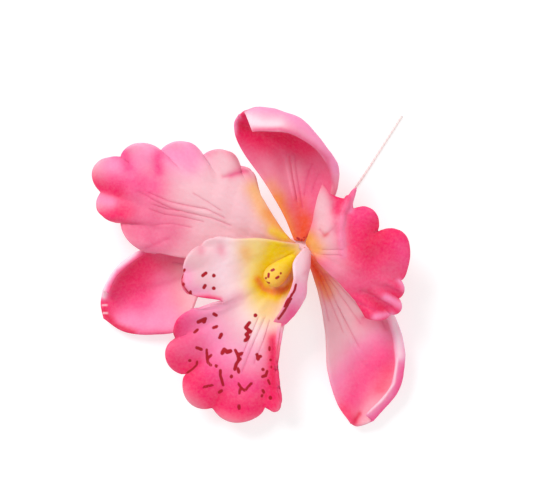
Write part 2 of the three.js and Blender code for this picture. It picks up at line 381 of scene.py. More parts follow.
def blend(colour: np.ndarray, cover: np.ndarray, paint: Paint) -> np.ndarray:
    """Lay a paint over the colours of the points, each with its own cover from 0 to 1."""
    return colour + cover[:, None] * (np.array(linear(paint)) - colour)


def adopt(piece: bpy.types.Object, node: str) -> None:
    """Make a piece ride on the flower and stand for a node, and report it.

    Args:
        piece: The new piece.
        node: The node that it stands for.
    """
    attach(piece, BODY)
    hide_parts(node)
    LOG.info("%s: %d faces", piece.name, len(piece.data.polygons))


# ---- Sheets of paste ----------------------------------------------------------------------------------


Span = Optional[tuple[float, float]]
UNMARKED = 9.0  # distance from a mark, in millimetres, that stands for none
RIB_FADE = 0.4  # how softly work on some of the ribs ends, in ribs
VEIN_TINT = 2.0  # cover of a vein's tint for each millimetre of its depth
VEIN_TINT_MOST = 0.5
FINE_SWELL = 0.25  # how high the finer unevenness is beside the broad one
FINE_SWELL_MM = 1.6
BROAD_SWELL_MM = 5.0


class Side(Enum):
    """The side of a sheet that a mark is brushed on, as the name of the attribute that holds it."""

    FACE = "mark"
    BACK = "mark_back"


@dataclass(frozen=True)
class Spray:
    """A pass of colour along a path, fading over its reach, on all or some of the ribs.

    Most passes are airbrushed dust; some lay painted shade, painted shadow or painted highlight.
    """

    paint: Paint
    path: tuple[Point2, ...]
    reach: float
    strength: float = 1.0
    ribs: Span = None


@dataclass(frozen=True)
class Groove:
    """A vein pressed into the paste along a path; a negative depth is a ridge."""

    path: tuple[Point2, ...]
    depth: float = 0.35
    width: float = 0.6
    ribs: Span = None


@dataclass(frozen=True)
class Stroke:
    """A dark red mark brushed along a path, or a dot, on the face or the back of the sheet."""

    path: tuple[Point2, ...]
    half_width: float = 0.5
    ribs: Span = None
    side: Side = Side.FACE


def brushed(half_width: float, *paths: tuple[Point2, ...], ribs: Span = None,
            side: Side = Side.FACE) -> list[Stroke]:
    """Marks brushed at one width, one along each path."""
    return [Stroke(path, half_width, ribs, side) for path in paths]


@dataclass(frozen=True)
class Lobe:
    """A rounded scallop of the margin between two ribs."""

    start: int
    end: int
    out: float
    up: float
    near: float = 0.6  # powers of the arch at its start and end: below 1 the notch is sharp, above 1 soft
    far: float = 0.6


@dataclass
class PasteSheet:
    """One rolled sheet of paste: a sepal, a petal or the lip.

    Its ribs run from its foot to its margin, anticlockwise as seen from above.
    """

    node: str
    slot: str
    ribs: list[list[Point3]]
    ground: Paint
    lobes: list[Lobe] = field(default_factory=list)
    sprays: list[Spray] = field(default_factory=list)
    grooves: list[Groove] = field(default_factory=list)
    strokes: list[Stroke] = field(default_factory=list)
    lobe_depth: float = 0.3
    softening: float = 1.5  # how much rounder the lobes' arches are where they fade into the sheet
    steps_along: int = 120
    steps_across: int = 90
    thickness: float = 1.15
    rim: float = 0.3  # how thin the very edge is
    rim_width: float = 1.1  # how far in the rounding of the edge starts
    swell: float = 0.12
    seed: int = 1

    def plain(self, u: np.ndarray, v: np.ndarray) -> np.ndarray:
        """Follow the smooth surface through the ribs.

        Args:
            u: From 0 at the foot to 1 at the margin.
            v: From 0 at the first rib to 1 at the last.

        Returns:
            One row of x, y and z for each place.
        """
        ribs = np.array(self.ribs, float)
        i, weights = spread(u, ribs.shape[1] - 1)
        ends = np.stack([with_ends(rib) for rib in ribs])
        on_ribs = sum(weights[k][None, :, None] * ends[:, i + k] for k in range(4))
        across = with_ends(on_ribs)
        j, weights = spread(v, ribs.shape[0] - 1)
        n = np.arange(len(u))
        return sum(weights[k][:, None] * across[j + k, n] for k in range(4))

    def scallop(self, v: np.ndarray, pull: np.ndarray) -> tuple[np.ndarray, np.ndarray]:
        """How far the margin's lobe stands out at v and how far it swells up, softer where it fades."""
        rib = v * (len(self.ribs) - 1)
        out, up = np.zeros_like(v), np.zeros_like(v)
        for lobe in self.lobes:
            t = (rib - lobe.start) / (lobe.end - lobe.start)
            arch = np.where((t >= 0) & (t <= 1), np.clip(np.sin(math.pi * t), 0, 1), 0)
            power = lobe.near + (lobe.far - lobe.near) * t.clip(0, 1) + self.softening * (1 - pull)
            out += lobe.out * arch**power
            up += lobe.up * arch**2
        return out, up

    def outward(self, v: np.ndarray) -> np.ndarray:
        """Square to the margin at v, in the sheet's own slope."""
        step, rim = 0.02, np.ones_like(v)
        along = self.plain(rim, np.minimum(v + step, 1)) - self.plain(rim, np.maximum(v - step, 0))
        across = self.plain(rim, v) - self.plain(rim * 0.9, v)
        square = np.cross(along, np.cross(across, along))
        return square / np.linalg.norm(square, axis=1, keepdims=True)

    def lobed(self, u: np.ndarray, v: np.ndarray) -> np.ndarray:
        """The surface with the scallops of its margin."""
        place = self.plain(u, v)
        pull = smooth((u - 1 + self.lobe_depth) / self.lobe_depth)
        out, up = self.scallop(v, pull)
        place += self.outward(v) * (pull * out)[:, None]
        place[:, 2] += pull * up
        return place

    def normals(self, u: np.ndarray, v: np.ndarray) -> np.ndarray:
        """Unit normals of the lobed surface, on its face side."""
        step = 0.004
        along = self.lobed(np.minimum(u + step, 1), v) - self.lobed(np.maximum(u - step, 0), v)
        across = self.lobed(u, np.minimum(v + step, 1)) - self.lobed(u, np.maximum(v - step, 0))
        normal = np.cross(along, across)
        return normal / np.maximum(np.linalg.norm(normal, axis=1, keepdims=True), 1e-9)

    def on_ribs(self, v: np.ndarray, ribs: Span) -> np.ndarray:
        """1 on the given ribs and 0 off them, with a soft change."""
        if ribs is None:
            return np.ones_like(v)
        rib = v * (len(self.ribs) - 1)
        return smooth((rib - ribs[0]) / RIB_FADE + 0.5) * smooth((ribs[1] - rib) / RIB_FADE + 0.5)

    def relief(self, place: np.ndarray, v: np.ndarray) -> np.ndarray:
        """Height of the pressed veins and of the paste's slight unevenness, in millimetres."""
        x, y = place[:, 0], place[:, 1]
        height = self.swell * ripple(x, y, self.seed, BROAD_SWELL_MM)
        height += FINE_SWELL * self.swell * ripple(x, y, self.seed + 9, FINE_SWELL_MM)
        for groove in self.grooves:
            gap = distance(x, y, groove.path)
            height -= groove.depth * np.exp(-((gap / groove.width) ** 2)) * self.on_ribs(v, groove.ribs)
        return height

    def dust_and_painted_light(self, place: np.ndarray, v: np.ndarray) -> np.ndarray:
        """Airbrushed colour of each place, in linear light.

        Some of the sprays lay painted shade, painted shadows and painted highlights.
        """
        x, y = place[:, 0], place[:, 1]
        colour = np.tile(np.array(linear(self.ground)), (len(x), 1))
        for spray in self.sprays:
            gap = distance(x, y, spray.path) / spray.reach
            cover = spray.strength * np.exp(-(gap**2)) * self.on_ribs(v, spray.ribs)
            colour = blend(colour, cover, spray.paint)
        for groove in self.grooves:
            gap = distance(x, y, groove.path) / groove.width
            tint = min(VEIN_TINT * max(groove.depth, 0), VEIN_TINT_MOST)
            colour = blend(colour, tint * np.exp(-(gap**2)) * self.on_ribs(v, groove.ribs), Paint.VEIN)
        return colour

    def marks(self, place: np.ndarray, v: np.ndarray, side: Side) -> np.ndarray:
        """Distance outside the nearest brushed mark of one side, in millimetres."""
        nearest = np.full(len(v), UNMARKED)
        for stroke in self.strokes:
            if stroke.side is not side:
                continue
            gap = distance(place[:, 0], place[:, 1], stroke.path) - stroke.half_width
            nearest = np.minimum(nearest, gap + UNMARKED * (1 - self.on_ribs(v, stroke.ribs)))
        return nearest

    def edge_gap(self, u: np.ndarray, v: np.ndarray, place: np.ndarray) -> np.ndarray:
        """Distance to the sheet's edge along its ribs and across them, in millimetres."""
        zeros, ones = np.zeros_like(u), np.ones_like(u)
        ends = [self.lobed(ones, v), self.lobed(u, zeros), self.lobed(u, ones)]
        return np.min([np.linalg.norm(end - place, axis=1) for end in ends], axis=0)

    def build(self, face: bpy.types.Material, back: bpy.types.Material) -> bpy.types.Object:
        """Make the sheet's object.

        Args:
            face: Material of the face and the edge.
            back: Material of the back.

        Returns:
            The object, riding on the flower and standing for its node.
        """
        bm = bmesh.new()
        bm.loops.layers.uv.new("UVMap")
        bmesh.ops.create_grid(bm, x_segments=self.steps_along, y_segments=self.steps_across, size=1,
                              calc_uvs=True)
        flat = np.array([vertex.co[:2] for vertex in bm.verts])
        u, v = (flat[:, 0] + 1) / 2, (flat[:, 1] + 1) / 2
        place = self.lobed(u, v)
        shaped = place + self.normals(u, v) * self.relief(place, v)[:, None]
        for vertex, (x, y, z) in zip(bm.verts, shaped * MM):
            vertex.co = (x + HUB[0], y + HUB[1], z)
        for polygon in bm.faces:
            polygon.smooth = True
        piece = as_object(self.node + "_paste", bm, face, back)
        write_points(piece, "dust_and_painted_light", self.dust_and_painted_light(place, v))
        for side in Side:
            write_points(piece, side.value, self.marks(place, v, side))
        group = piece.vertex_groups.new(name="body")
        inner = np.clip(self.edge_gap(u, v, place) / self.rim_width, 0, 1)
        thinnest = self.rim / self.thickness
        body = thinnest + (1 - thinnest) * np.sqrt(1 - (1 - inner) ** 2)
        for k, weight in enumerate(body):
            group.add([k], float(weight), "REPLACE")
        wall = piece.modifiers.new("wall", "SOLIDIFY")
        wall.thickness = self.thickness * MM
        wall.offset = 0.0
        wall.vertex_group = group.name
        wall.material_offset = 1
        adopt(piece, self.node)
        return piece


# ---- The sheets ----------------------------------------------------------------------------------------


# The broad left petal, from its upper edge round to its lower edge.
LEFT_PETAL = PasteSheet(
    node="left_petal", slot="petal_paste", ground=Paint.PALE, steps_across=240, seed=3,
    ribs=[
        [(-3, 1.5, 14.5), (-7, 6, 15.5), (-10.5, 11.5, 16), (-13.5, 16.5, 16), (-15.5, 21.5, 16)],
        [(-3, 1, 14.5), (-8.5, 6.5, 16), (-13, 13, 16.5), (-17.5, 19.5, 16.5), (-21.5, 26.5, 15.5)],
        [(-2.5, 0.7, 14.5), (-10.5, 6.5, 16.5), (-18.5, 14, 17), (-26, 21.5, 16.5), (-33.5, 29.5, 15)],
        [(-2.5, 0.4, 14.5), (-13.5, 6.5, 16.5), (-24.5, 13.5, 17), (-35.5, 22, 16), (-47.5, 31, 13.5)],
        [(-2.5, 0, 14.5), (-16, 5.5, 16), (-30.5, 12.5, 16), (-45.5, 20.5, 14.5), (-60.5, 29, 12)],
        [(-2.4, -0.3, 14.5), (-17.5, 3.5, 15), (-34, 8.5, 14.5), (-51, 13, 13), (-67.5, 18, 11.5)],
        [(-2.2, -0.6, 14.5), (-16.5, 1, 15), (-31.5, 3, 14.5), (-46, 5.5, 13), (-60.5, 8.5, 11.5)],
        [(-2, -1, 14.5), (-14.5, -2.5, 15), (-27.5, -4.5, 14.5), (-39.5, -4, 13.5), (-51.5, -1.5, 12.5)],
    ],
    lobes=[
        Lobe(0, 1, 1.5, 2), Lobe(1, 2, 4, 2.8), Lobe(2, 3, 4.4, 3), Lobe(3, 4, 3.6, 3),
        Lobe(4, 5, 5, 3, 0.6, 1.4), Lobe(5, 6, 3.6, 3, 1.4, 0.6), Lobe(6, 7, 2.6, 2),
    ],
    sprays=[
        Spray(Paint.CANDY, ((-38, 31), (-45, 30), (-53, 30), (-60, 27)), 7, 0.95),
        Spray(Paint.ROSE, ((-58, 12), (-54, 6), (-50, 2)), 11, 0.95),
        Spray(Paint.ROSE, ((-50, 9), (-44, 6)), 6, 0.7),
        Spray(Paint.PINK, ((-62, 22), (-56, 21), (-50, 20)), 6, 0.9),
        Spray(Paint.HOT, ((-72, 22), (-67, 19.5), (-62, 18)), 3.6, 0.95),
        Spray(Paint.HOT, ((-68, 9.5), (-60, 11)), 3.5, 0.95),
        Spray(Paint.PINK, ((-62.5, 29), (-60.5, 31)), 1.6, 0.6),
        Spray(Paint.ROSE, ((-46, 12), (-40, 10)), 4, 0.3),
        # painted highlights on the crests of the two tip lobes
        Spray(Paint.CANDY, ((-64, 27), (-60, 26)), 2.8, 0.7),
        Spray(Paint.CANDY, ((-67, 15.5), (-64, 14.5)), 2.2, 0.8),
        # darker pink at two notches of the upper margin: painted shade in their creases
        Spray(Paint.PINK, ((-59.3, 31), (-58, 26)), 2.2, 0.9),
        Spray(Paint.PINK, ((-48.2, 30), (-47.6, 25)), 2.0, 0.95),
        Spray(Paint.CANDY, ((-36.4, 32), (-37, 27)), 3.0, 0.6),
        Spray(Paint.ROSE, ((-31, 31.4), (-27, 33), (-23, 30)), 1.8, 0.45),
        Spray(Paint.ROSE, ((-20, 26), (-16, 23)), 2.8, 0.5),
        Spray(Paint.PINK, ((-23.5, 23.6), (-20, 25)), 1.3, 0.6),
        Spray(Paint.AMBER, ((-16, 19), (-13, 12), (-10, 7.5), (-6, 3)), 3.2, 0.8),
        Spray(Paint.ORANGE, ((-11.5, 11), (-8.5, 7), (-5.5, 3.5), (-2.5, 0.8)), 1.8, 0.65),
        Spray(Paint.YELLOW, ((-10, 5), (-6, 3)), 1.6, 0.7),
    ],
    grooves=[
        Groove(((-54.5, 18.2), (-48, 14.8), (-43, 12.5), (-37, 11), (-30, 9.4), (-24, 7)), 0.28, 0.42),
        Groove(((-51, 17.8), (-44, 14.8), (-38, 13.5), (-32, 12.4), (-26, 9.6)), 0.26, 0.42),
        Groove(((-50, 16.2), (-44, 13.6), (-38, 12.2), (-30, 10.8)), -0.22, 0.5),
        Groove(((-51, 12.4), (-46, 10.6), (-40, 9.8), (-33, 8.2)), 0.22, 0.42),
        Groove(((-50, 14), (-45, 12.4), (-41, 11.6)), 0.25, 0.35),
        Groove(((-36, 17.5), (-31, 14.5), (-27, 12)), 0.18, 0.35),
        Groove(((-49, 7), (-43, 7.4), (-37, 6.2)), 0.18, 0.45),
        Groove(((-26, 23), (-22, 24), (-18, 25)), 0.25, 0.9),
        Groove(((-52, -0.6), (-47.5, 1), (-44.6, 2.4)), 0.2, 0.7),
    ],
)

# The right petal curls up and over, from its lower edge round to its upper left edge.
RIGHT_PETAL = PasteSheet(
    node="right_petal", slot="petal_paste", ground=Paint.HOT, steps_along=80, steps_across=240, seed=5,
    ribs=[
        [(3, -2, 14.5), (6.5, -6.5, 15.5), (11.5, -11.5, 16.5), (16.5, -17, 17), (21, -23.5, 17)],
        [(3, -1.8, 14.5), (7.5, -5.5, 17), (14, -10.5, 19), (22, -16.5, 19), (29.5, -22.5, 16.5)],
        [(3, -1.5, 14.5), (8.5, -4, 17.5), (15, -7.5, 20.5), (24, -12.5, 20), (32, -17.5, 16.5)],
        [(2.7, -1.2, 14.5), (8.5, -2.5, 18), (15.5, -5.5, 21.5), (24.5, -8.5, 20.5), (33, -11.5, 17)],
        [(2.6, -0.9, 14.5), (8.5, -1, 18.5), (15, -2, 22), (23, -1, 21), (32, 1, 18)],
        [(2.5, -0.5, 14.5), (8, 0.5, 19), (13.5, 2, 22.5), (19.5, 3.5, 21), (25, 4.5, 19)],
        [(2, 0, 14.5), (6.5, 3.5, 19), (11, 7, 22.5), (14.5, 10, 21.5), (17, 12.5, 20)],
        [(1.8, 0.3, 14.5), (6, 4.2, 18.8), (10, 8, 22), (13.8, 12.5, 21.5), (18, 19.3, 20.5)],
        [(1.7, 0.5, 14.5), (5.5, 5, 18.5), (9, 9, 21.5), (12, 13, 21.5), (14.8, 15.8, 20.5)],
        [(1.5, 1, 14.5), (4.5, 6.5, 18), (7, 11, 20.5), (9, 14.5, 21.5), (9.6, 17.2, 21.5)],
        [(1.3, 1.5, 14.5), (3, 6.5, 17), (4, 11.5, 19), (5, 16, 20.5), (6.5, 20.5, 22)],
    ],
    lobes=[
        Lobe(0, 1, 1.5, 3), Lobe(1, 2, 2, 3), Lobe(2, 3, 1.3, 2.5), Lobe(3, 5, 3.5, 2.5),
        Lobe(5, 6, 5.2, 2.5),
    ],
    sprays=[
        # painted shade: dark crimson where the outer part of the petal folds away
        Spray(Paint.DEEP, ((24.5, 4), (22, -1)), 3.8, 0.85),
        Spray(Paint.PINK, ((18, 10), (22, 12)), 3.4, 0.5),
        Spray(Paint.PINK, ((33, 0), (34, -5)), 3, 0.6),
        Spray(Paint.ROSE, ((17, -11), (23, -14), (29, -9)), 5, 0.6),
        Spray(Paint.BLUSH, ((7, 16), (8.4, 8), (9.4, 0), (11, -7)), 4.6, 1.0),
        Spray(Paint.PALE, ((6, 15), (6.8, 8), (7.6, 0)), 3.2, 0.8),
        Spray(Paint.ROSE, ((9, -6), (14, -12)), 3, 0.45),
        # painted highlight along the petal's raised ridge
        Spray(Paint.CANDY, ((15, 14.2), (13.6, 10.9), (13, 5.3), (13.6, -3)), 1.3, 0.45),
        Spray(Paint.HOT, ((10, 18), (11.4, 16), (14, 16.2), (12, 14), (11.6, 11.6)), 1.8, 1.0),
        Spray(Paint.CANDY, ((15.8, 11.6), (16.8, 16), (18.4, 19.4)), 1.1, 0.7),
        Spray(Paint.HOT, ((17, 13), (17.6, 16)), 0.5, 0.8),
        # painted shade along the folds of the lower lobes
        Spray(Paint.DEEP, ((22, -16), (27, -20.5)), 2, 0.8),
        Spray(Paint.DEEP, ((19, -21), (22, -24.5)), 1.4, 0.6),
        # pale rims of the small folds: painted highlights where their edges catch the light
        Spray(Paint.CANDY, ((27.5, -17), (30, -18), (33.4, -20.4)), 1.1, 0.85),
        Spray(Paint.CANDY, ((24.3, -23.4), (30, -22.6)), 1.1, 0.85),
        Spray(Paint.CANDY, ((32, -11.6), (34, -14.4)), 1.0, 0.85),
        Spray(Paint.AMBER, ((2.5, 2.5), (5, -1)), 3, 0.95),
        Spray(Paint.ORANGE, ((2, 3), (1.5, 0.5)), 1.3, 0.6),
        Spray(Paint.FLAME, ((7.6, 3.6), (8.4, 4)), 0.8, 0.6),
    ],
    grooves=[
        Groove(((7.5, -1.2), (13, -1)), 0.3, 0.35),
        Groove(((7.5, -2.8), (13.5, -3)), 0.3, 0.35),
        Groove(((6.2, 5.4), (7.9, 3.4), (10, 5.6)), 0.18, 0.6),
        Groove(((15.2, 15.5), (13.4, 11), (12.5, 5), (13.6, -3)), -0.7, 0.8),
        Groove(((9.6, 17), (10.6, 11), (11.4, 5)), 0.2, 1.2),
        Groove(((20, -15), (26, -18), (30, -20.5)), 0.7, 1.1),
        Groove(((28, -13), (33, -15.5)), 0.5, 0.8),
        Groove(((17, -18), (24, -21.5)), 0.5, 0.7),
        Groove(((17.4, 14.6), (17.8, 18.5)), 0.5, 0.5),
    ],
)

# The spans of ribs that the lip's three lobes take.
LEFT_LOBE = (0, 4)
MIDDLE_LOBE = (4.6, 12)
ROLLED_LOBE = (12.3, 15)

# The lip, from its left side lobe round its frilled middle lobe to the side lobe rolled over the column.
LIP = PasteSheet(
    node="lip", slot="lip_paste", ground=Paint.PALE, steps_along=130, steps_across=340, seed=7,
    ribs=[
        [(-1, 0.7, 16), (-7, 1.5, 18.5), (-13.5, 2.5, 20), (-19.5, 2.5, 20.5), (-25, 2.5, 20)],
        [(-1, 0.4, 16), (-8.5, -0.5, 17.5), (-16.5, -1.5, 18.5), (-25, -1, 19.5), (-33.5, 0, 20)],
        [(-1, 0, 16), (-10, -3.5, 16.5), (-19.5, -5.5, 17.5), (-29.5, -7, 19), (-39, -9, 19.5)],
        [(-1, -0.3, 16), (-10.5, -6, 16), (-19, -9.5, 16.5), (-28, -13.5, 17.5), (-37, -16, 18.5)],
        [(-0.9, -0.7, 16), (-10.5, -8.5, 15), (-15.5, -12.5, 15.5), (-21, -15.5, 16),
         (-26.5, -18.5, 16.5)],
        [(-0.7, -1, 16), (-10, -10.5, 15), (-15.5, -15.5, 14.5), (-25, -20, 14.5), (-36, -21.5, 15.5)],
        [(-0.5, -1.3, 16), (-9.5, -12, 14.5), (-15.5, -19, 14), (-29, -25, 13), (-42, -31, 12.5)],
        [(-0.3, -1.5, 16), (-8.5, -13.5, 14.5), (-15, -22.5, 14), (-26.5, -32.5, 12), (-39, -43, 10)],
        [(0, -1.7, 16), (-7.5, -14.5, 15), (-13, -25, 13.5), (-20.5, -39, 12), (-30, -54.5, 8.5)],
        [(0.3, -1.8, 16), (-6, -15, 15), (-9.5, -25.5, 14), (-11, -39, 12.5), (-12.5, -54, 9)],
        [(0.4, -1.9, 16), (-5, -14.7, 15.5), (-8.5, -25, 14.5), (-9.5, -38, 13), (-9.3, -52.5, 10)],
        [(0.6, -2, 16), (-4, -14, 16), (-7, -23, 15.5), (-8.5, -32, 14.5), (-8.5, -41.5, 13.5)],
        [(1.3, -2, 16), (-1.5, -8.5, 17), (-2.5, -15.5, 17.5), (-4.5, -22, 17.5), (-7, -28, 16.5)],
        [(2.3, -2, 17.5), (2, -6.5, 21), (1, -12.5, 23), (0, -18, 23), (-6, -26, 19.5)],
        [(0.5, -0.5, 19), (-3, -5.5, 25.5), (-3, -11.5, 27), (-6, -19, 26.5), (-9.5, -25, 21.5)],
    ],
    lobes=[
        Lobe(0, 1, 1, 1), Lobe(1, 2, 1.5, 1.5), Lobe(2, 3, 1, 1), Lobe(5, 6, 2.3, 1.5),
        Lobe(6, 7, 4.2, 2), Lobe(7, 8, 3.8, 2, 0.6, 1.1), Lobe(8, 9, 4.4, 2, 1.1, 0.6),
        Lobe(9, 11, 2.5, 2),
    ],
    sprays=[
        Spray(Paint.CANDY, ((-34, -26), (-30, -33), (-27, -38)), 9, 0.95, MIDDLE_LOBE),
        Spray(Paint.WHITE, ((-20, -16), (-17, -22), (-13, -28)), 5, 0.8, (3, 12)),
        Spray(Paint.CANDY, ((-18, -36), (-14, -38)), 4, 0.55, MIDDLE_LOBE),
        Spray(Paint.PINK, ((-41, -24), (-40, -32), (-34, -41), (-28, -46), (-18, -47), (-12, -47)), 7.5, 1.0,
              MIDDLE_LOBE),
        Spray(Paint.HOT, ((-43, -37), (-37, -45), (-30, -52), (-20, -55),
                (-11, -53)), 6.5, 1.0, MIDDLE_LOBE),
        Spray(Paint.HOT, ((-9.5, -31), (-9.6, -42), (-9.5, -50)), 3, 1.0, (8, 12.5)),
        # the strip's deeper pink, partly painted shade where the strip folds
        Spray(Paint.DEEP, ((-9.8, -32), (-9.4, -40), (-9.2, -47)), 1.3, 0.6, (8, 12.5)),
        Spray(Paint.HOT, ((-42, -24), (-42.5, -31)), 1.6, 0.8, MIDDLE_LOBE),
        Spray(Paint.WINE, ((-41.6, -22.8), (-43.2, -25.4), (-43.4, -28.2), (-42.2, -31)), 0.4, 0.7,
              (4.6, 7)),
        Spray(Paint.ROSE, ((-41, -34), (-35, -33)), 4, 0.6, MIDDLE_LOBE),
        # painted shade in the creases at two notches of the frilled margin
        Spray(Paint.DEEP, ((-39, -43), (-35, -39)), 1.8, 0.5, MIDDLE_LOBE),
        Spray(Paint.DEEP, ((-30, -54), (-27, -49)), 2.0, 0.5, MIDDLE_LOBE),
        Spray(Paint.WHITE, ((-24, -1), (-26, -9), (-22, -13)), 5, 0.75, (0, 5)),
        Spray(Paint.CANDY, ((-39, -9), (-38, -14), (-32, -16.5)), 3, 0.75, (0, 4.4)),
        Spray(Paint.HOT, ((-37, -17.3), (-31, -17.2), (-27.4, -17.8)), 1, 1.0, (2.5, 4.3)),
        Spray(Paint.DEEP, ((-40, -9), (-39.7, -13), (-37, -16.8)), 0.7, 0.8, (1.5, 3.6)),
        Spray(Paint.LEMON, ((-16, 0), (-15, -8), (-15, -16), (-12, -21)), 5.5, 0.85),
        Spray(Paint.AMBER, ((-19, -1.5), (-18.4, -3)), 2.3, 0.6, LEFT_LOBE),
        Spray(Paint.YELLOW, ((-9, 0), (-12, -7), (-13, -12)), 4.2, 1.0, (0, 12)),
        Spray(Paint.YELLOW, ((-14.5, -12), (-13, -15.5), (-8.5, -17), (-4, -14)), 2.4, 1.0, (2, 12.4)),
        Spray(Paint.YELLOW, ((-8, -1), (-4, -2.5), (-3, -6)), 4, 1.0, (0, 12.6)),
        # painted shadow under the column's tip: an orange crescent, darker flame where the tip lies closest
        Spray(Paint.ORANGE, ((-15, -11), (-12.8, -14.2), (-9, -15.6), (-5, -14.6), (-2.6, -11.5)), 1.2, 0.95,
              (2, 12.4)),
        Spray(Paint.FLAME, ((-9, -14.6), (-5, -14)), 0.7, 0.6, (2, 12.4)),
        # painted shade in the two dimples of the left side lobe
        Spray(Paint.BLUSH, ((-27, -1.2), (-26.6, -2)), 1.8, 0.45, LEFT_LOBE),
        Spray(Paint.BLUSH, ((-33.6, -1.3), (-33.8, -2)), 1.6, 0.4, LEFT_LOBE),
        Spray(Paint.CANDY, ((-30, -20.5), (-25, -19), (-21, -17)), 2.6, 0.45, (3.5, 6)),
        Spray(Paint.PALE, ((2, 0), (0, -8), (-1, -14), (-4, -20)), 8, 1.0, (12.5, 15)),
        Spray(Paint.WHITE, ((-1, -3), (-2.6, -8)), 2.4, 0.8, (12.5, 15)),
        Spray(Paint.ROSE, ((2.8, -3), (0.8, -9)), 1.2, 0.35, (12.5, 15)),
        Spray(Paint.CANDY, ((-1, -15), (-4, -21)), 4, 0.7, (12.2, 15)),
        Spray(Paint.PINK, ((-3.5, -22), (-6, -26), (-9, -26)), 3.4, 0.9, (12.2, 15)),
        Spray(Paint.CANDY, ((-8, -28), (-8, -31)), 1.6, 0.6, (11, 13)),
    ],
    grooves=[
        Groove(((-12.4, -24), (-16, -32), (-20, -42)), 0.22, 0.34, (4.5, 12)),
        Groove(((-14.6, -24), (-18, -32), (-20.5, -38)), 0.25, 0.35, (4.5, 12)),
        Groove(((-13.5, -24), (-17, -32), (-20.5, -41)), -0.25, 0.35, (4.5, 12)),
        Groove(((-10.8, -25), (-13, -32), (-16, -39)), 0.25, 0.35, (4.5, 12)),
        Groove(((-27, -0.2), (-27, -1.6)), 0.12, 1.6, LEFT_LOBE),
        Groove(((-33.6, -0.4), (-33.4, -1.6)), 0.12, 1.3, LEFT_LOBE),
    ],
    strokes=[
        *brushed(0.5, ((-33, -9.8), (-31.9, -8.9)), ((-32.7, -13.6), (-32.3, -13)),
                 ((-29.5, -22.4), (-28.7, -22.9)), ((-35.8, -28.8), (-35, -27.9)),
                 ((-27.5, -30.5), (-26.9, -29.4)),
                 ((-17.5, -25.5), (-18.8, -27.2), (-17.3, -28.4), (-18.7, -29.5), (-17.9, -30.4),
                  (-19, -31.5)), ((-37.6, -38.1),),
                 ((-21.4, -36.3), (-21, -38), (-22, -39.5), (-22.4, -41.2)),
                 ((-15, -36.2), (-14.8, -37.3), (-13.8, -36.8)), ((-13.1, -41.2),),
                 ((-27.7, -48.9), (-26.9, -48.4)), ((-21, -53.4), (-21, -54.4))),
        *brushed(0.55, ((-29.4, -9.7),), ((-34.7, -25.1), (-32.4, -23.9), (-32.8, -25.1)), ((-15.5, -23),),
                 ((-28.6, -40.1),), ((-23.6, -43.6),)),
        *brushed(0.6, ((-29.4, -13.9),), ((-26.6, -35.8), (-26, -34.6), (-25, -35.4), (-23.8, -35.1))),
        *brushed(0.45, ((-29.6, -27.3), (-28.4, -26.8)), ((-35.4, -33.8), (-33.7, -34.4)),
                 ((-30.3, -36.5), (-31.4, -37.6)), ((-22.2, -34.8), (-21.4, -36.3), (-20, -35.8)),
                 ((-20.3, -37.8), (-21, -38)), ((-21.3, -41), (-21.1, -42.2)), ((-14.6, -37.8),),
                 ((-13.6, -50.2),)),
        *brushed(0.4, ((-31.9, -34.6), (-31.7, -37), (-31.4, -39), (-30.3, -40)), ((-10.4, -38),),
                 ((-10, -40.4),)),
        *brushed(0.35, ((-35.2, -38.6), (-35.2, -39.8), (-36.5, -41.2), (-38.3, -42.4)),
                 ((-20.7, -48), (-20.8, -49.4)), ((-10.8, -33.8), (-10.8, -34.6))),
        *brushed(0.42, ((-27.3, -41.6), (-27.4, -43), (-26.8, -45), (-26.4, -46.4)),
                 ((-13.3, -43.6), (-12.1, -43.2), (-11.6, -41.8)), ((-13.2, -48.3), (-12.8, -49))),
        Stroke(((-11.2, -44.8), (-10.5, -46)), 0.36),
        *brushed(0.38, ((-33, -47.3), (-31.5, -46.8), (-30, -46.5)),
                 ((-21.2, -46), (-20.2, -47.6), (-19, -48.4), (-17.8, -47), (-16.8, -45.8))),
        Stroke(((-10.3, -50.8),), 0.65),
        Stroke(((-38.9, -7.6), (-39.3, -8.3)), 0.35, LEFT_LOBE),
        *brushed(0.4, ((-39.7, -9.2), (-40, -10.6)), ((-39.3, -12.6),),
                 ((-37.2, -14.9), (-37.1, -16.4)), ribs=LEFT_LOBE),
        Stroke(((-40, -11), (-39.7, -12.8), (-38.4, -14.4), (-37.2, -15.8)), 0.06, LEFT_LOBE),
        Stroke(((-0.9, 0.3),), 0.3, ROLLED_LOBE, Side.BACK),
        Stroke(((0.4, -0.4),), 0.22, ROLLED_LOBE, Side.BACK),
        *brushed(0.32, ((-2.5, -12.6), (-2.9, -14.4), (-4.4, -17), (-6.2, -19.6)),
                 ((-3.9, -17.2), (-6.2, -20.8), (-8, -23.6)), ribs=ROLLED_LOBE, side=Side.BACK),
    ],
)

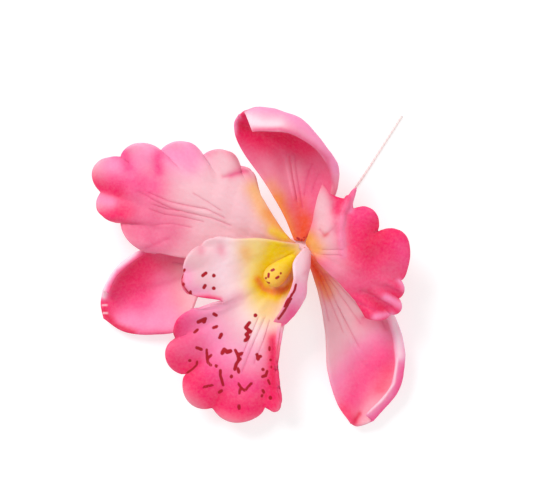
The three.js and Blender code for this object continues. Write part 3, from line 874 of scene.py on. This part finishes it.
# The hooded upper sepal, from its free margin over its crest and down its bowl to its left edge.
DORSAL_SEPAL = PasteSheet(
    node="dorsal_sepal", slot="sepal_paste", ground=Paint.ROSE, steps_across=110, seed=11,
    ribs=[
        [(0.7, 1.4, 13), (5, 8.5, 13.5), (9.5, 17, 16.5), (9, 25, 21.5), (4, 32, 26.5), (-3.5, 36.5, 29),
         (-10.5, 37.5, 29), (-16.5, 37.5, 27.5)],
        [(0, 1.6, 13), (5.5, 8.5, 13), (10, 17.5, 15.5), (11.2, 25, 19.5), (7, 32.5, 24),
         (-1.2, 41.5, 26.5), (-12.5, 45, 26.5), (-19, 43.7, 25)],
        [(-1.4, 1.8, 13), (-0.5, 9, 12), (-0.5, 17, 10.5), (-1, 24.5, 9.5), (-4, 31, 10),
         (-10.5, 37, 12.5), (-17.5, 40.5, 16), (-20.5, 43.5, 22.5)],
        [(-2.6, 2, 13), (-5.5, 9, 13.5), (-9.5, 16.5, 14), (-14, 23.5, 14.5), (-18.8, 30, 15.5),
         (-22, 36, 17.5), (-22.5, 40.5, 20), (-21, 43, 22)],
    ],
    sprays=[
        Spray(Paint.BLUSH, ((-12, 25), (-6, 20), (-3, 25)), 5, 0.7, (1.2, 3.2)),
        Spray(Paint.HOT, ((-20.5, 43), (-20, 37), (-14, 36), (-5, 36), (3, 33)), 4.2, 0.95, (1.2, 3.2)),
        # painted shade in the bowl under the hood's rim
        Spray(Paint.DEEP, ((-19.5, 40), (-12, 38), (-3, 36)), 1.8, 0.6, (1.2, 3.2)),
        Spray(Paint.ROSE, ((5, 27), (4, 18)), 4, 0.7, (0.8, 2.4)),
        Spray(Paint.AMBER, ((-10.5, 20), (-8, 16)), 2.6, 0.5),
        Spray(Paint.FLAME, ((-1, 14), (-0.5, 10)), 3, 0.6),
        Spray(Paint.ORANGE, ((-8.6, 15), (-5.6, 9), (-3, 3)), 3, 0.85),
        Spray(Paint.FLAME, ((1, 8), (0, 1)), 3.4, 1.0),
        Spray(Paint.BLUSH, ((-16, 43), (-4, 41), (6, 33), (11, 24)), 9, 1.0, (-1, 1.02)),
        Spray(Paint.CANDY, ((-16, 46), (-6, 44.5), (2, 39), (8, 33), (11, 26)), 3.6, 0.95, (-1, 1.02)),
        Spray(Paint.WHITE, ((-18, 41.5), (-13, 39.8), (-8, 39.4)), 2.6, 0.9, (-1, 1.02)),
        Spray(Paint.ROSE, ((-3, 45), (5, 39), (9, 33)), 1.2, 0.5, (-1, 1.02)),
        Spray(Paint.ROSE, ((-15.7, 37.8), (-7.3, 38), (-2.3, 36.5), (3.5, 33), (8, 29), (9.6, 21)), 1.1, 0.9,
              (-1, 1.02)),
        Spray(Paint.CANDY, ((-23, 37), (-22, 42), (-19.5, 44)), 0.9, 0.7, (2, 4)),
    ],
    grooves=[
        Groove(((-4.2, 31), (-3.2, 24), (-1.6, 15)), 0.26, 0.45, (1.3, 3)),
        Groove(((-5.2, 30), (-4.2, 24), (-2.6, 16)), -0.25, 0.4, (1.3, 3)),
        Groove(((-2.4, 31), (-1.6, 24), (0.4, 13)), 0.28, 0.45, (1.3, 3)),
        Groove(((3.6, 27.5), (1.6, 22), (1, 17)), 0.26, 0.45, (1.3, 3)),
        Groove(((4.6, 26.5), (2.6, 21)), -0.25, 0.45, (1.3, 3)),
        Groove(((5.6, 24), (3.4, 18)), 0.25, 0.5, (1, 3)),
    ],
    strokes=[Stroke(((-1.6, 2.6), (-0.8, 2.2)), 0.25), Stroke(((0, 2),), 0.3), Stroke(((0.8, 2.8),), 0.2)],
)

# The left lower sepal, a trough from its rolled upper rim to its lower edge.
LEFT_SEPAL = PasteSheet(
    node="left_lateral_sepal", slot="sepal_paste", ground=Paint.HOT, seed=13,
    ribs=[
        [(-2, 0, 13), (-17.5, -1, 11), (-32.5, 0, 10), (-44.5, -0.5, 9), (-53.5, -3.5, 8),
         (-61.5, -9.5, 8), (-65, -16, 7)],
        [(-2.1, -0.4, 13), (-17.5, -0.5, 11), (-32.5, 1.5, 9), (-45, 0.5, 8), (-54.5, -2.8, 7),
         (-62.5, -8.3, 7), (-66.7, -15.5, 6)],
        [(-2.3, -1.2, 13), (-17.5, -4.5, 9), (-31.5, -7.5, 5.5), (-43, -12.5, 2.4), (-53, -16, 0.7),
         (-61.5, -18.5, 1.5), (-68, -19.5, 4)],
        [(-2.5, -2, 13), (-18, -8, 10), (-33.5, -15, 7), (-39.5, -27.5, 5.5), (-50, -30, 4),
         (-60, -29, 4), (-67, -24.5, 4.5)],
    ],
    sprays=[
        Spray(Paint.PINK, ((-58, -22), (-50, -20)), 8, 0.85),
        Spray(Paint.CANDY, ((-60, -26), (-52, -26), (-45, -26)), 4.5, 0.9),
        Spray(Paint.DEEP, ((-62, -9), (-58, -6)), 3.5, 0.35),
        Spray(Paint.CANDY, ((-46, -12), (-46, -22)), 5, 0.6),
        Spray(Paint.PALE, ((-36, -6), (-36, -20)), 7.5, 1.0),
        Spray(Paint.CANDY, ((-41, -27), (-44, -23)), 3.5, 0.5),
        # painted shadow that the left petal's lower edge casts on the sepal
        Spray(Paint.ROSE, ((-49, -2), (-40, -4)), 2.6, 0.7),
        # painted shade on the thick lower edge, fading into rose along it
        Spray(Paint.DEEP, ((-67.5, -22), (-63.5, -27), (-57, -29.5)), 1.3, 0.9),
        Spray(Paint.ROSE, ((-55, -30), (-44, -29.8)), 1.0, 0.8),
        Spray(Paint.CANDY, ((-54, -1.2), (-58, -4.4), (-62.4, -8), (-65.4, -13), (-66.8, -17)), 1.3, 0.95),
        Spray(Paint.WHITE, ((-54, -1), (-58, -4.2), (-62.7, -7.8), (-65.7, -13), (-67, -17)), 0.6, 0.9),
        Spray(Paint.WHITE, ((-67.4, -20), (-66.3, -20)), 0.35, 0.8),
        Spray(Paint.WHITE, ((-67, -22.8), (-66, -22.8)), 0.35, 0.8),
    ],
    grooves=[
        Groove(((-38, -10), (-46, -12.5), (-54, -14)), 0.15, 1.2),
        Groove(((-43.5, -5.4), (-38, -6)), 0.4, 0.4),
        Groove(((-44.5, -5), (-38.5, -5.2)), -0.25, 0.4),
    ],
)

# The right lower sepal, a trough from its left edge to its rolled right rim.
RIGHT_SEPAL = PasteSheet(
    node="right_lateral_sepal", slot="sepal_paste", ground=Paint.PALE, seed=17,
    ribs=[
        [(1, -3.6, 13), (3.5, -9, 11), (6, -18, 8.5), (8, -30, 6), (8.7, -42, 5), (12, -53, 4),
         (16.5, -60, 4.5)],
        [(1.7, -3.2, 13), (6.5, -9.5, 9), (12, -18.5, 5.5), (16.5, -29.5, 2.8), (20.5, -41, 0.7),
         (22.5, -51.5, 1.3), (19, -61, 4)],
        [(2.6, -2.7, 13), (10.5, -9.5, 10.5), (19, -18, 8.5), (29.3, -23, 7.5), (33.6, -35, 7),
         (32.2, -48.3, 6), (23.5, -59.3, 5)],
        [(3, -2.5, 13), (11, -9.5, 11), (18.5, -18, 9.5), (28, -24, 9), (31.2, -35.5, 8.5),
         (29.8, -47.3, 8), (21.5, -57, 6.5)],
    ],
    sprays=[
        Spray(Paint.CANDY, ((13, -46), (20, -37), (28, -31)), 6, 0.85),
        Spray(Paint.PINK, ((17, -52), (24, -41), (29, -37)), 7, 0.95),
        Spray(Paint.HOT, ((27, -48), (29.6, -42)), 3.6, 0.6),
        # painted shadow that the right petal's edge casts on the sepal
        Spray(Paint.ROSE, ((21, -25), (29, -26)), 2.6, 0.6),
        Spray(Paint.AMBER, ((3, -4), (8, -13)), 4, 0.5),
        Spray(Paint.FLAME, ((3, -5), (6.4, -11)), 3.2, 1.0),
        Spray(Paint.ORANGE, ((6, -12), (8.5, -16)), 2.4, 0.55),
        Spray(Paint.HOT, ((14, -56), (17, -59.5)), 3, 0.85),
        # painted shade in the crease at the curled tip
        Spray(Paint.DEEP, ((17.5, -59.5), (19.6, -57)), 0.9, 0.9),
        Spray(Paint.CANDY, ((30, -23), (33.6, -32), (34, -39)), 3, 0.9, (1.9, 4)),
        Spray(Paint.WHITE, ((30.5, -24), (32.6, -31), (32.8, -37)), 1.5, 0.75, (1.9, 4)),
        Spray(Paint.CANDY, ((33.5, -41), (30.5, -51), (24, -57.5), (19.5, -60)), 2.4, 1.0, (1.9, 4)),
        Spray(Paint.PINK, ((34.5, -41), (31.5, -51), (25, -58), (20, -60.5)), 2.0, 0.9, (1.9, 4)),
        Spray(Paint.WHITE, ((32, -38), (30.8, -46), (27, -51.5), (22, -56)), 0.45, 0.7, (2.4, 4)),
    ],
    grooves=[
        Groove(((6.5, -8), (9.5, -14), (12.5, -21), (16, -27.5), (19.5, -34)), 0.24, 0.36),
        Groove(((8, -9), (13, -16), (17, -22), (20, -26)), 0.22, 0.36),
        Groove(((6, -10), (8.4, -16), (11, -22), (14, -29)), 0.2, 0.36),
        Groove(((12, -21), (14.5, -27.5), (18.4, -34.5), (22.6, -40)), -0.35, 0.5),
        Groove(((9, -9), (15, -15.5), (20, -21)), 0.22, 0.38),
        Groove(((5.5, -12), (7.4, -19), (9, -25)), 0.2, 0.38),
        # the tint of this groove deepens the painted shadow line that the right petal casts
        Groove(((21, -24), (24, -24), (27, -25), (28.4, -28)), 0.4, 0.8),
    ],
)


# ---- Round pieces --------------------------------------------------------------------------------------


@dataclass
class Column:
    """The column, a rounded club of paste lying in the throat of the lip, with brushed red dots."""

    foot: Point3 = (-2.2, -3.2, 18.9)
    tip: Point3 = (-11.5, -12.2, 19.8)
    foot_radius: float = 2.1
    tip_radius: float = 4.4
    flatness: float = 0.72
    bluntness: float = 0.62  # power of the ring's size: 1 is an egg, and less has blunter ends
    yellow_to: float = 0.2  # how far from the foot the yellow is full, as a part of the length
    yellow_fade: float = 0.6
    underside_shade_from: float = 0.5  # where on the length the orange painted shade of the underside starts
    underside_shade_fade: float = 0.3
    underside_shade_drop: float = 2.5  # how far below the tip's middle it is full
    strokes: tuple[Stroke, ...] = (
        *brushed(0.35, ((-10.1, -8.1), (-9.5, -7.8)), ((-8.6, -10.6), (-7.9, -10.2))),
        *brushed(0.3, ((-7.1, -9),), ((-11.1, -9.2), (-11.2, -10.2)), ((-12, -10.6),)),
        Stroke(((-11.7, -12.1), (-11, -12.2)), 0.25),
    )

    def build(self, finish: bpy.types.Material) -> bpy.types.Object:
        """Make the club from a sphere.

        Args:
            finish: Its material.

        Returns:
            The object.
        """
        foot, tip = Vector(self.foot), Vector(self.tip)
        length = (tip - foot).length
        bm = bmesh.new()
        bmesh.ops.create_uvsphere(bm, u_segments=96, v_segments=72, radius=1.0)
        for vertex in bm.verts:
            x, y, z = vertex.co
            along = (z + 1) / 2
            radius = self.foot_radius + (self.tip_radius - self.foot_radius) * float(smooth(along))
            ring = math.hypot(x, y) ** self.bluntness if math.hypot(x, y) > 1e-6 else 0.0
            turn = math.atan2(y, x)
            vertex.co = (radius * ring * math.cos(turn), radius * ring * math.sin(turn) * self.flatness,
                         along * length)
        for polygon in bm.faces:
            polygon.smooth = True
        axis = (tip - foot).normalized()
        side = Vector((0, 0, 1)).cross(axis).normalized()
        turn = Matrix((side, axis.cross(side), axis)).transposed().to_4x4()
        bmesh.ops.transform(bm, matrix=Matrix.Translation(foot) @ turn, verts=bm.verts)
        bmesh.ops.recalc_face_normals(bm, faces=bm.faces)
        place = np.array([vertex.co[:] for vertex in bm.verts])
        to_flower(bm)
        piece = as_object("column_paste", bm, finish)
        top = place[:, 2] > self.tip[2] - 1
        nearest = np.full(len(place), UNMARKED)
        for stroke in self.strokes:
            gap = distance(place[:, 0], place[:, 1], stroke.path) - stroke.half_width
            nearest = np.minimum(nearest, gap + UNMARKED * ~top)
        write_points(piece, Side.FACE.value, nearest)
        colour = np.tile(np.array(linear(Paint.BUTTER)), (len(place), 1))
        along = np.clip((place - np.array(self.foot)) @ np.array(axis) / length, 0, 1)
        drop = self.tip[2] - place[:, 2]
        colour = blend(colour, 1 - smooth((along - self.yellow_to) / self.yellow_fade), Paint.YELLOW)
        # orange painted shade on the club's underside, below the tip's middle
        colour = blend(colour, smooth(drop / self.underside_shade_drop)
                       * smooth((along - self.underside_shade_from) / self.underside_shade_fade), Paint.ORANGE)
        write_points(piece, "dust_and_painted_light", colour)
        adopt(piece, "column")
        return piece


@dataclass
class CentrePaste:
    """The cone of paste behind the flower, turned round its axis, with the blind bore of the wire."""

    top: float = 12.1
    foot: float = 5.0
    radius: float = 4.4
    bore_top: float = 9.9
    bore_radius: float = 0.6

    def build(self, finish: bpy.types.Material) -> bpy.types.Object:
        """Make the cone by spinning its outline.

        Args:
            finish: Its material.

        Returns:
            The object.
        """
        outline = [
            (0, self.bore_top), (self.bore_radius, self.bore_top), (self.bore_radius, self.foot),
            (self.bore_radius + 0.9, self.foot), (0.6 * self.radius, self.foot + 1.2),
            (0.9 * self.radius, self.top - 3), (self.radius, self.top - 1.3),
            (0.9 * self.radius, self.top - 0.3), (0.5 * self.radius, self.top), (0, self.top),
        ]
        bm = bmesh.new()
        verts = [bm.verts.new((r, 0, z)) for r, z in outline]
        edges = [bm.edges.new(pair) for pair in zip(verts, verts[1:])]
        bmesh.ops.spin(bm, geom=verts + edges, cent=(0, 0, 0), axis=(0, 0, 1), angle=2 * math.pi, steps=48,
                       use_merge=True)
        bmesh.ops.remove_doubles(bm, verts=bm.verts, dist=0.001)
        bmesh.ops.recalc_face_normals(bm, faces=bm.faces)
        for polygon in bm.faces:
            polygon.smooth = True
        to_flower(bm)
        piece = as_object("centre_paste_cone", bm, finish)
        count = len(piece.data.vertices)
        write_points(piece, "dust_and_painted_light", np.tile(np.array(linear(Paint.WHITE)), (count, 1)))
        write_points(piece, Side.BACK.value, np.full(count, UNMARKED))
        adopt(piece, "centre_paste")
        return piece


@dataclass
class CoveredWire:
    """The steel wire in its wound paper cover."""

    path: tuple[Point3, ...] = (
        (0, 0, 9.5), (0, 0, 6.5), (0.4, 0.3, 4.2), (2.5, 1.8, 1.9), (6, 5, 0.8), (10.5, 9.5, 0.5),
        (18.9, 20.5, 0.46), (26.7, 32.5, 0.46), (34.2, 44.2, 0.46),
    )
    cover_radius: float = 0.45
    bore_radius: float = 0.3
    core_radius: float = 0.255
    pitch: float = 1.6  # length of wire that one turn of the paper covers
    steps: int = 180
    sides: int = 24
    across: Point3 = (0.6, -0.8, 0)  # a direction that the wire never runs in

    def tube(self, name: str, radius: float, bore: float, finish: bpy.types.Material) -> bpy.types.Object:
        """Sweep a ring or a disc along the wire.

        Args:
            name: The object's name.
            radius: Outer radius in millimetres.
            bore: Inner radius, or 0 for a solid rod.
            finish: Its material.

        Returns:
            The object.
        """
        points = curve(self.path, np.linspace(0, 1, self.steps + 1))
        bm = bmesh.new()
        winding = bm.loops.layers.uv.new("winding")
        rings = []
        travelled = [0.0]
        for k, point in enumerate(points):
            ahead, behind = points[min(k + 1, self.steps)], points[max(k - 1, 0)]
            axis = Vector(ahead - behind).normalized()
            side = axis.cross(Vector(self.across)).normalized()
            turn = Matrix((side, axis.cross(side), axis)).transposed().to_4x4()
            place = Matrix.Translation(Vector(point)) @ turn
            ring = [bmesh.ops.create_circle(bm, segments=self.sides, radius=size, matrix=place)["verts"]
                    for size in (radius, bore) if size]
            if k:
                travelled.append(travelled[-1] + float(np.linalg.norm(point - behind)))
            rings.append(ring)
        for k, (near, far) in enumerate(zip(rings, rings[1:])):
            for which in range(len(near)):
                for a in range(self.sides):
                    b = (a + 1) % self.sides
                    loop = [near[which][a], near[which][b], far[which][b], far[which][a]]
                    made = bm.faces.new(loop if which == 0 else loop[::-1])
                    made.smooth = True
                    places = ((a, k), (a + 1, k), (a + 1, k + 1), (a, k + 1))
                    for corner, (turned, run) in zip(made.loops, places):
                        corner[winding].uv = (turned / self.sides, travelled[run] / self.pitch)
        for ring, flip in ((rings[0], True), (rings[-1], False)):
            if not bore:
                bm.faces.new(ring[0][::-1] if flip else ring[0])
                continue
            for a in range(self.sides):
                b = (a + 1) % self.sides
                loop = [ring[0][a], ring[0][b], ring[1][b], ring[1][a]]
                bm.faces.new(loop[::-1] if flip else loop)
        bmesh.ops.recalc_face_normals(bm, faces=bm.faces)
        to_flower(bm)
        return as_object(name, bm, finish)

    def build(self, paper: bpy.types.Material, steel: bpy.types.Material) -> None:
        """Make the cover and the core.

        Args:
            paper: Material of the cover.
            steel: Material of the core.
        """
        cover = self.tube("wire_cover_paper", self.cover_radius, self.bore_radius, paper)
        adopt(cover, "wire_cover")
        core = self.tube("wire_core_steel", self.core_radius, 0, steel)
        adopt(core, "wire_core")


# ---- Stage ---------------------------------------------------------------------------------------------


@dataclass
class Stage:
    """A pale table, soft studio light and a camera straight above."""

    camera_height: float = 0.75  # metres above the table
    sensor: float = 36.0
    lens: float = 147.8
    camera_offset: Point2 = (-0.01117, -0.00033)  # from the flower's axis
    table_half: float = 1.5  # half the table's side
    key_place: Point3 = (-0.55, 0.65, 0.9)
    key_size: float = 0.5
    key_watts: float = 8.5
    fill_place: Point3 = (0.8, -0.5, 0.8)
    fill_size: float = 1.0
    fill_watts: float = 2.0
    sky: float = 0.62  # strength of the even light from all sides

    def floor(self) -> None:
        """Lay the table."""
        bm = bmesh.new()
        bmesh.ops.create_grid(bm, x_segments=1, y_segments=1, size=self.table_half)
        card = PlainFinish("matt white card", Paint.TABLE, 0.9, lit=0.9).build()
        as_object("table_top", bm, card)

    def light(self, name: str, place: Point3, size: float, watts: float) -> None:
        """Hang a square soft box that faces the flower.

        Args:
            name: Its name.
            place: Where it hangs, in metres.
            size: Its side, in metres.
            watts: Its power.
        """
        lamp = bpy.data.lights.new(name, "AREA")
        lamp.shape = "SQUARE"
        lamp.size = size
        lamp.energy = watts
        box = bpy.data.objects.new(name, lamp)
        box.location = place
        box.rotation_euler = (-Vector(place)).to_track_quat("-Z", "Y").to_euler()
        bpy.context.scene.collection.objects.link(box)

    def build(self) -> None:
        """Set the table, the lights and the camera."""
        self.floor()
        self.light("key", self.key_place, self.key_size, self.key_watts)
        self.light("fill", self.fill_place, self.fill_size, self.fill_watts)
        world = bpy.data.worlds.new("studio")
        world.use_nodes = True
        background = world.node_tree.nodes["Background"]
        background.inputs["Color"].default_value = (1, 1, 1, 1)
        background.inputs["Strength"].default_value = self.sky
        bpy.context.scene.world = world
        eye = bpy.data.cameras.new("overhead")
        eye.sensor_width = self.sensor
        eye.lens = self.lens
        eye.clip_start = 0.01
        camera = bpy.data.objects.new("overhead", eye)
        right, up = self.camera_offset
        camera.location = (HUB[0] + right, HUB[1] + up, self.camera_height)
        bpy.context.scene.collection.objects.link(camera)
        bpy.context.scene.camera = camera
        bpy.context.scene.view_settings.view_transform = "Standard"


def main() -> None:
    """Build the flower and its stage."""
    logging.basicConfig(level=logging.INFO, format="%(message)s")
    face = SugarPaste("gum paste, airbrushed face").build()
    back = SugarPaste("gum paste, lightly dusted back", mark="mark_back", roughness=0.6).build()
    for sheet in (LEFT_SEPAL, RIGHT_SEPAL, DORSAL_SEPAL, LEFT_PETAL, RIGHT_PETAL, LIP):
        sheet.build(face, back)
    Column().build(face)
    CentrePaste().build(back)
    CoveredWire().build(WoundPaper().build(), PlainFinish("drawn steel wire", Paint.STEEL, 0.3, 1.0).build())
    Stage().build()


if __name__ == "__main__":
    main()
